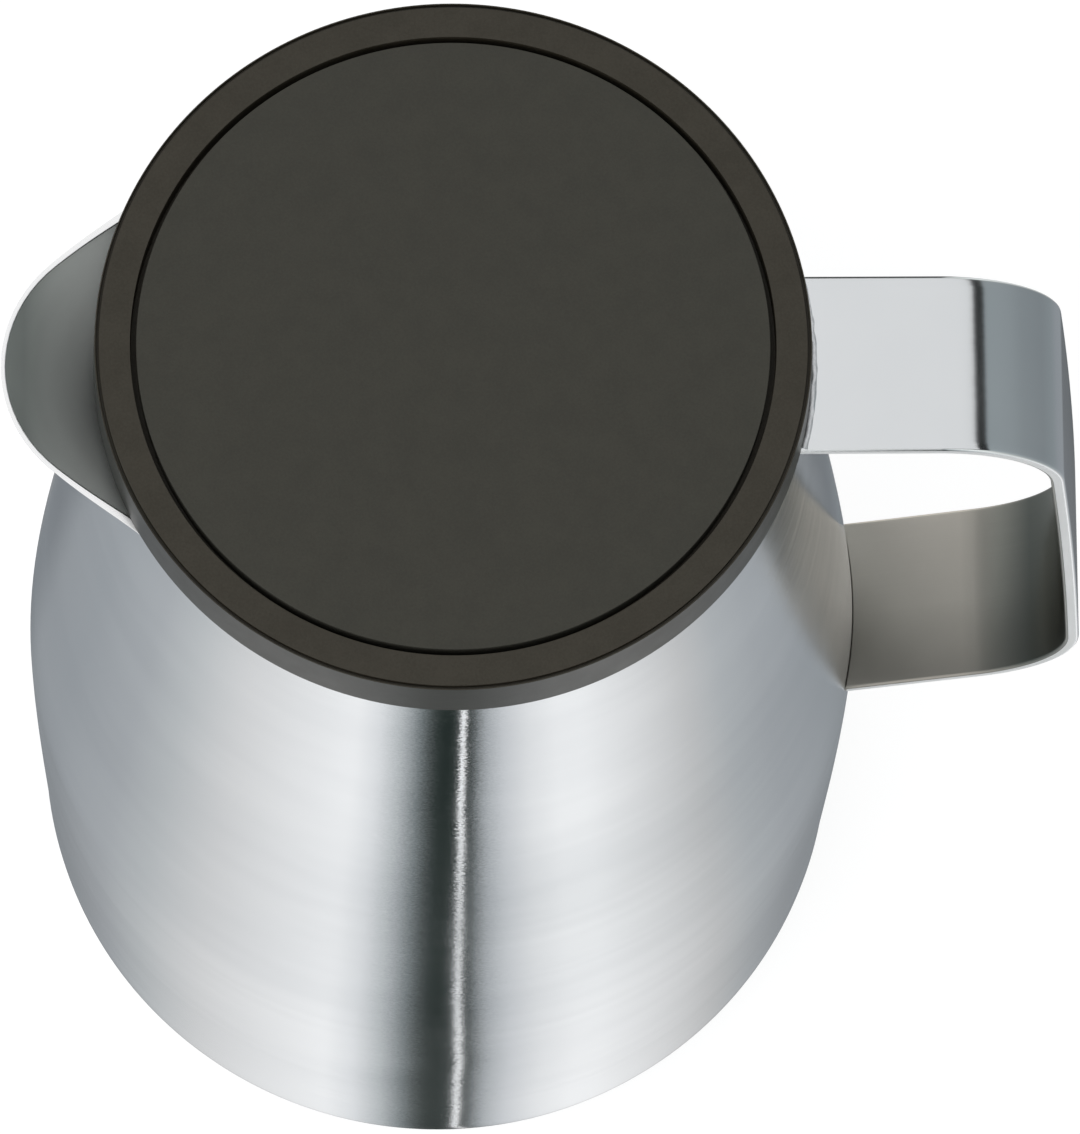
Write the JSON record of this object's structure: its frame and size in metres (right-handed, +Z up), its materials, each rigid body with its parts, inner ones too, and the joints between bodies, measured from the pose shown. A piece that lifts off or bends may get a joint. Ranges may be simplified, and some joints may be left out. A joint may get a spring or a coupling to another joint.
{
  "type": "insulated jug",
  "caption": "Round double-walled steel jug that swells to a soft belly, with a drawn-out pouring lip, a bent steel strip handle and a flat dark screw lid with a sealing stopper.",
  "frame": {"origin": "On the jug's axis, on the surface that it stands on.", "axes": "+Z is up along the jug's axis. +X points at the handle, so the spout points to -X. +Y completes the right-handed frame; the jug's front in the picture faces -Y."},
  "size_m": [0.157, 0.1232, 0.226],
  "materials": {
    "body_steel": "brushed round the body, satin",
    "handle_steel": "fine satin with bright cut edges",
    "flask_steel": "plain drawn sheet",
    "copper_foil": "thin bright foil",
    "plated_steel": "zinc plated",
    "getter_alloy": "pressed powder",
    "pad_rubber": "matt",
    "lid_rim_plastic": "fine grain, dark brown",
    "lid_disc_plastic": "fine grain, dark olive brown",
    "stopper_plastic": "plain moulded",
    "foam": "rigid insulating foam",
    "silicone": "soft, matt"
  },
  "bodies": {
    "jug": {"outer_shell": "body_steel", "pouring_collar": "body_steel", "flask_neck": "flask_steel", "flask_wall": "flask_steel", "flask_bottom": "flask_steel", "reflective_foil": "copper_foil", "outer_bottom": "flask_steel", "vacuum_seal_bead": "plated_steel", "getter_holder": "plated_steel", "getter_pill": "getter_alloy", "base_pad": "pad_rubber", "handle_strip": "handle_steel"},
    "seal": {"stopper_seal": "silicone"},
    "lid": {"lid_shell": "lid_rim_plastic", "lid_disc": "lid_disc_plastic", "stopper_body": "stopper_plastic", "stopper_cap": "stopper_plastic", "insulation_plug": "foam", "lid_screw_1": "plated_steel", "lid_screw_2": "plated_steel", "lid_screw_3": "plated_steel"}
  },
  "joints": [
    {"name": "lid_rise", "type": "slide", "parent": "jug", "child": "seal", "axis": [0, 0, 1], "range_m": [0, 0.03901]},
    {"name": "lid_turn", "type": "hinge", "parent": "seal", "child": "lid", "pos_m": [0, 0, 0.2], "axis": [0, 0, 1], "range_deg": [0, 540]}
  ],
  "couplings": [
    {"joint": "lid_rise", "follows": "lid_turn", "m_per_rad": 0.004138}
  ]
}
